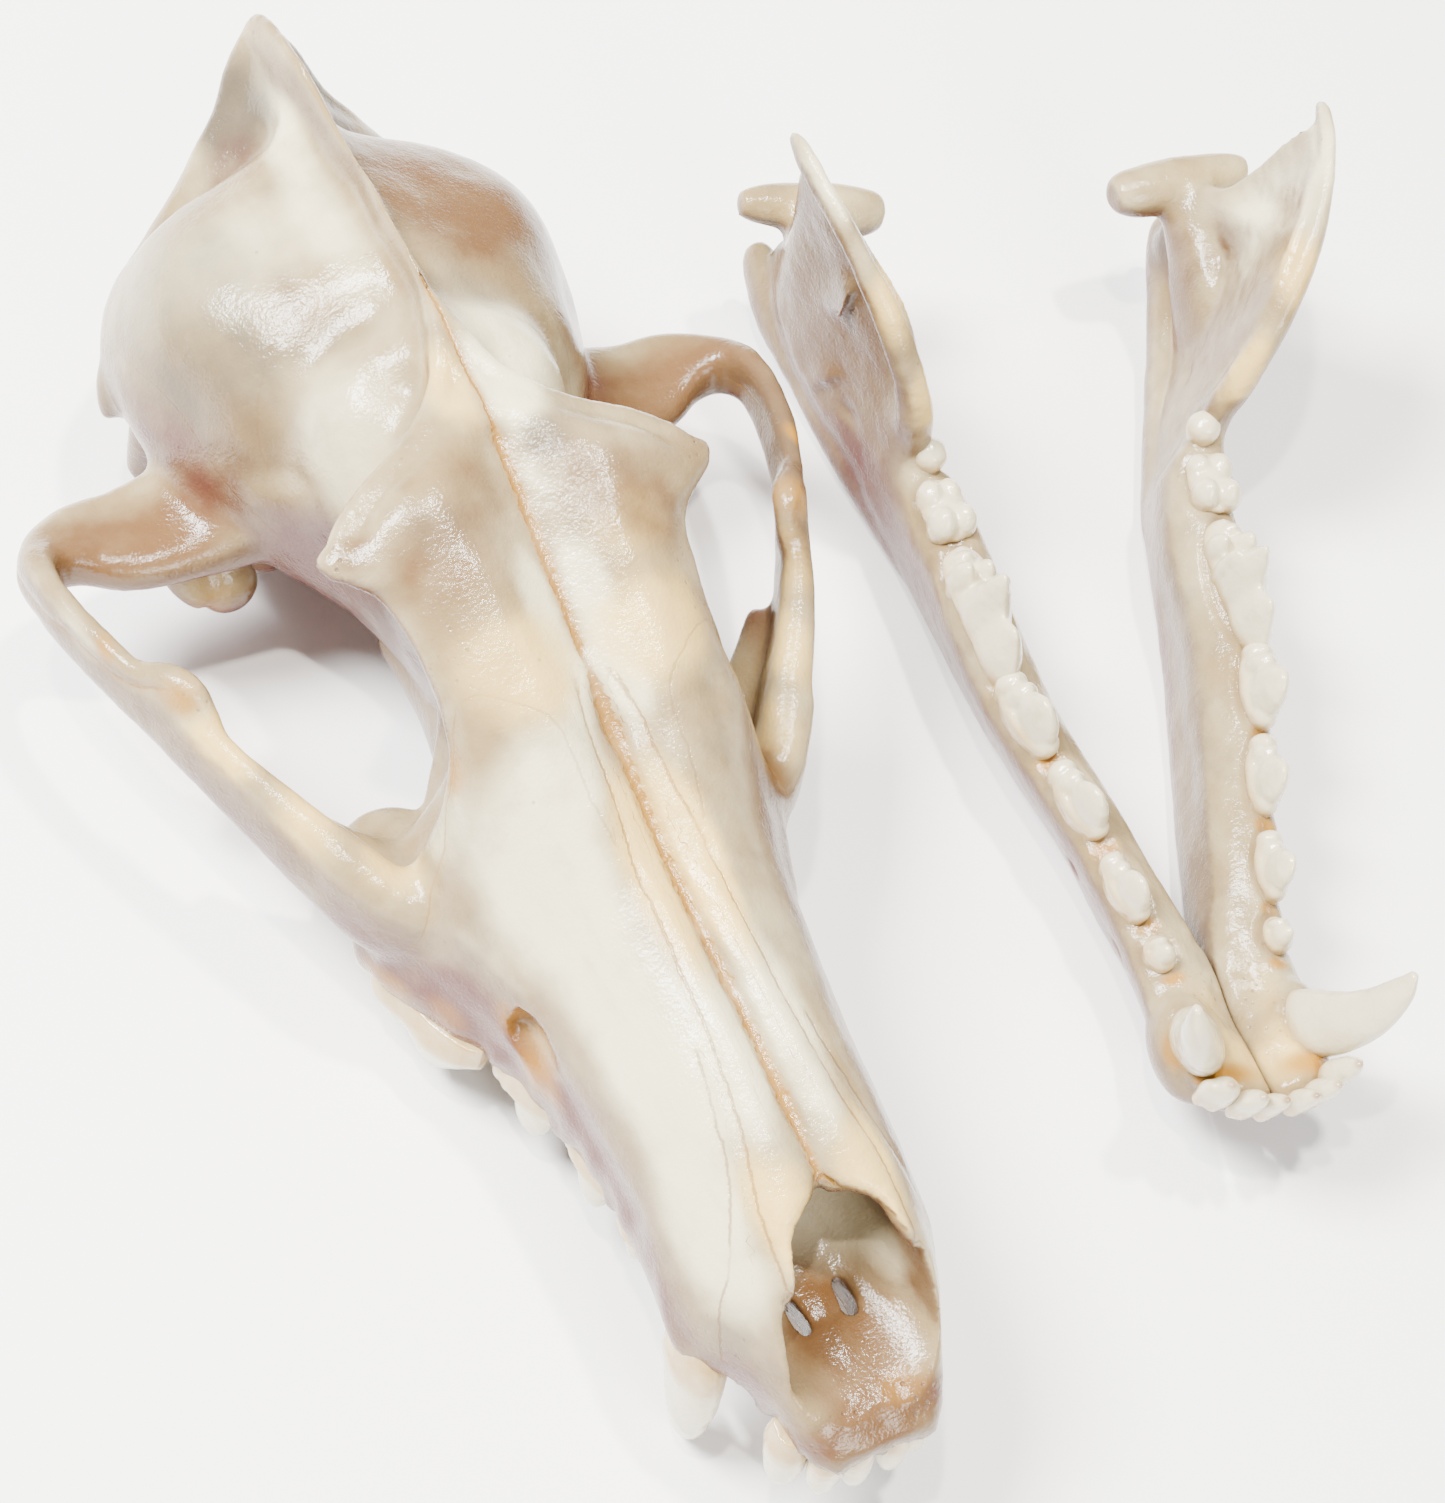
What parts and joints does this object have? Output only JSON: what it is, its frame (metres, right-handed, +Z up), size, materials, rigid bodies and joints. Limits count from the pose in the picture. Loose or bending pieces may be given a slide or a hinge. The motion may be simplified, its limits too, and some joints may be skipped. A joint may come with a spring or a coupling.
{
  "type": "coyote skull",
  "caption": "Dried coyote skull: cranium with its upper teeth resting on canine tips and base, and the toothed lower jaw lying loose beside it.",
  "frame": {"origin": "middle of the underside of the whole object, on the surface it rests on", "axes": "+Z up from the surface, +Y from the tip of the snout towards the back of the cranium, +X towards the animal's left, where the lower jaw lies"},
  "size_m": [0.1968, 0.2006, 0.0651],
  "materials": {
    "bone": "cream bone with a glossy, slightly wet sheen",
    "enamel": "smooth glossy white enamel"
  },
  "bodies": {
    "root": {"cranium": "bone", "lower_jaw_left": "bone", "lower_jaw_right": "bone", "upper_incisor_1_left": "enamel", "upper_incisor_1_right": "enamel", "upper_incisor_2_left": "enamel", "upper_incisor_2_right": "enamel", "upper_incisor_3_left": "enamel", "upper_incisor_3_right": "enamel", "upper_canine_left": "enamel", "upper_canine_right": "enamel", "upper_premolar_1_left": "enamel", "upper_premolar_1_right": "enamel", "upper_premolar_2_left": "enamel", "upper_premolar_2_right": "enamel", "upper_premolar_3_left": "enamel", "upper_premolar_3_right": "enamel", "upper_premolar_4_left": "enamel", "upper_premolar_4_right": "enamel", "upper_molar_1_left": "enamel", "upper_molar_1_right": "enamel", "upper_molar_2_left": "enamel", "upper_molar_2_right": "enamel", "lower_incisor_1_left": "enamel", "lower_incisor_1_right": "enamel", "lower_incisor_2_left": "enamel", "lower_incisor_2_right": "enamel", "lower_incisor_3_left": "enamel", "lower_incisor_3_right": "enamel", "lower_canine_left": "enamel", "lower_canine_right": "enamel", "lower_premolar_1_left": "enamel", "lower_premolar_1_right": "enamel", "lower_premolar_2_left": "enamel", "lower_premolar_2_right": "enamel", "lower_premolar_3_left": "enamel", "lower_premolar_3_right": "enamel", "lower_premolar_4_left": "enamel", "lower_premolar_4_right": "enamel", "lower_molar_1_left": "enamel", "lower_molar_1_right": "enamel", "lower_molar_2_left": "enamel", "lower_molar_2_right": "enamel", "lower_molar_3_left": "enamel", "lower_molar_3_right": "enamel"}
  },
  "joints": []
}
